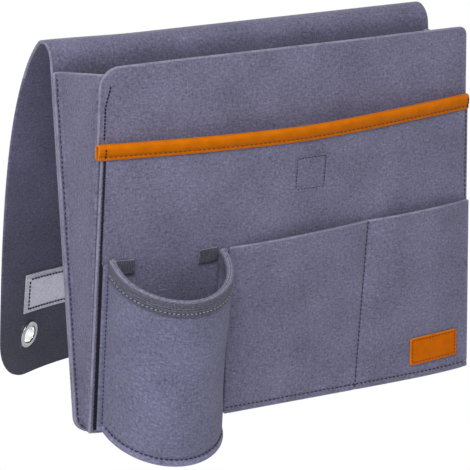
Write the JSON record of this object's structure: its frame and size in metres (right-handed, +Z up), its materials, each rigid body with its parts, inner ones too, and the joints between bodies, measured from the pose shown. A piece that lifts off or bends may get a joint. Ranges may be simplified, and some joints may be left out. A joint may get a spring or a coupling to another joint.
{
  "type": "sofa armrest caddy",
  "caption": "Grey felt organizer that hangs over a sofa arm, with an open box, a trimmed magazine pocket, phone pockets, a round bottle holder and a folded hanging flap.",
  "frame": {"origin": "on the rear face of the back panel, where it rests against the sofa arm, on the middle plane and 150 mm above the front's lower edge", "axes": "+Z up, +X to the right of someone facing the pockets, +Y out of the rear face towards the sofa arm"},
  "size_m": [0.322, 0.2991, 0.3007],
  "materials": {
    "felt": "matt needle felt with a melange speckle",
    "leather": "smooth orange tan leather",
    "tape": "dark woven binding tape",
    "hook_and_loop": "pale napped tape",
    "thread": "dark sewing thread",
    "steel": "polished nickel"
  },
  "bodies": {
    "caddy": {"back_panel": "felt", "top_fold": "felt", "front_panel": "felt", "gusset_strip": "felt", "gusset_thread": "thread", "magazine_pocket": "felt", "pocket_trim": "leather", "pocket_trim_thread": "thread", "left_seam_thread": "thread", "right_seam_thread": "thread", "left_panel_thread": "thread", "right_panel_thread": "thread", "closure_loop_square": "hook_and_loop", "closure_hook_square": "hook_and_loop", "closure_thread": "thread", "phone_pocket": "felt", "phone_divider_thread": "thread", "phone_hem_thread": "thread", "label_patch": "leather", "label_thread": "thread", "bottle_holder_wall": "felt", "bottle_holder_base": "felt", "bottle_holder_base_thread": "thread", "bottle_holder_binding": "tape", "bottle_holder_binding_thread": "thread", "binding_tab_left": "tape", "binding_tab_right": "tape"},
    "flap": {"hanging_flap": "felt", "flap_fastening_strip": "hook_and_loop", "flap_strip_thread": "thread", "eyelet_left": "steel", "eyelet_washer_left": "steel", "eyelet_right": "steel", "eyelet_washer_right": "steel"}
  },
  "joints": [
    {"name": "flap_swing", "type": "hinge", "parent": "caddy", "child": "flap", "pos_m": [0, 0.0117, 0.113], "axis": [1, 0, 0], "range_deg": [-24, 90], "stiffness_Nm_per_rad": 0.5, "springref_deg": 11.06, "deforming": ["top_fold"]}
  ]
}
